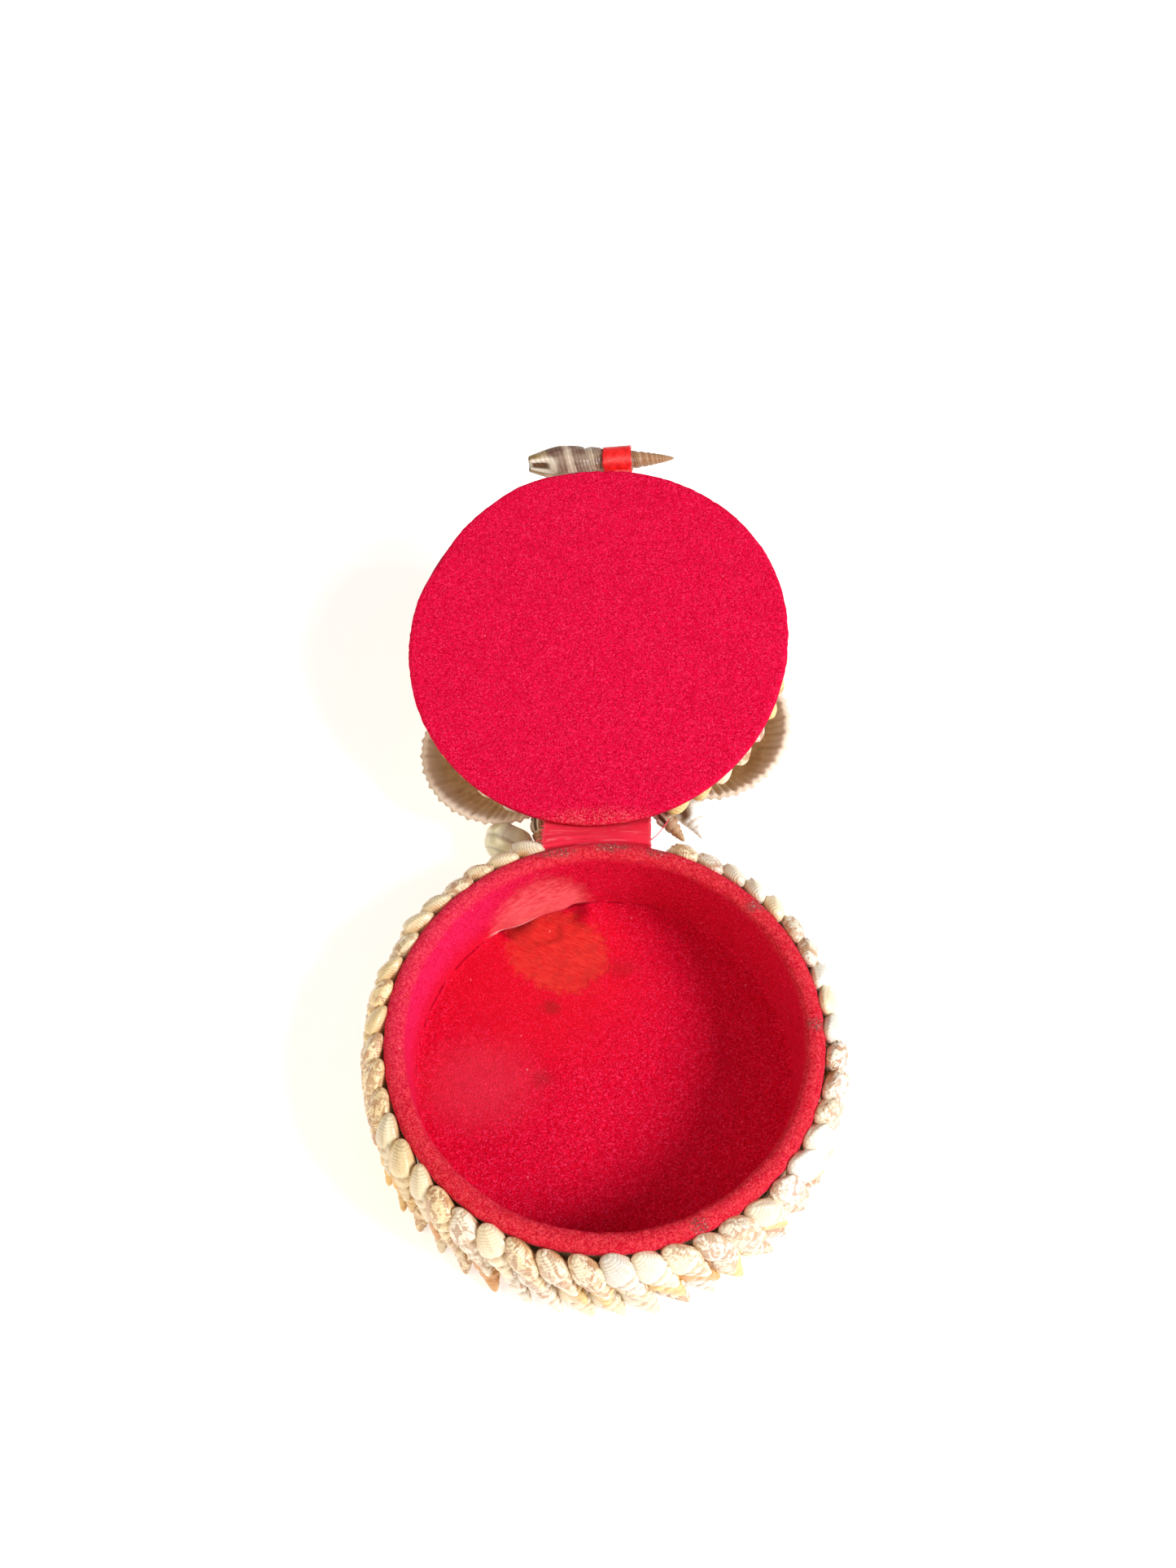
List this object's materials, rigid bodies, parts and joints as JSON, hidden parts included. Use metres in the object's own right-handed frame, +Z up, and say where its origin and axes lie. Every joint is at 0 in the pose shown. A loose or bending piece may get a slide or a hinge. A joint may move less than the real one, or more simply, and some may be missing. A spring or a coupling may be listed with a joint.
{
  "type": "shell box",
  "caption": "Round souvenir trinket box clad in small sea shells, lined with red velvet, its flat shell-covered lid folded back on a red cloth tape hinge.",
  "frame": {"origin": "centre of the box's flat underside", "axes": "+Z up, +Y from the middle of the box towards the hinge and the folded lid, +X to the right seen from the front"},
  "size_m": [0.1136, 0.2186, 0.0598],
  "materials": {
    "card": "matt strawboard",
    "red_velvet": "short flocked velvet pile, worn in places",
    "red_tape": "plain woven cotton tape and satin ribbon",
    "conch_shell": "glossy white to tan shell, marbled and banded",
    "cockle_shell": "ribbed, half matt, grey brown inside",
    "olive_shell": "smooth and glossy, pale green",
    "brown_shell": "glossy brown with pale bands",
    "whelk_shell": "cream with tan bands"
  },
  "bodies": {
    "box": {"card_drum": "card", "velvet_lining": "red_velvet", "wall_shells_top_row": "conch_shell", "wall_shells_middle_row": "conch_shell", "wall_shells_bottom_row": "conch_shell", "hinge_tape": "red_tape"},
    "lid": {"lid_board": "card", "lid_velvet": "red_velvet", "lid_edge_shells_left": "conch_shell", "lid_edge_shells_right": "conch_shell", "lid_front_shells": "conch_shell", "cockle_left": "cockle_shell", "cockle_right": "cockle_shell", "moon_snail": "olive_shell", "cerith_left": "brown_shell", "cerith_right": "brown_shell", "pointed_conch": "conch_shell", "centre_whelk": "whelk_shell", "pull_cerith": "brown_shell", "pull_ribbon": "red_tape"}
  },
  "joints": [
    {"name": "lid_hinge", "type": "hinge", "parent": "box", "child": "lid", "pos_m": [0, 0.0527, 0.0258], "axis": [0.9987, 0, 0.0506], "range_deg": [0, 161.2], "deforming": ["hinge_tape"]}
  ]
}
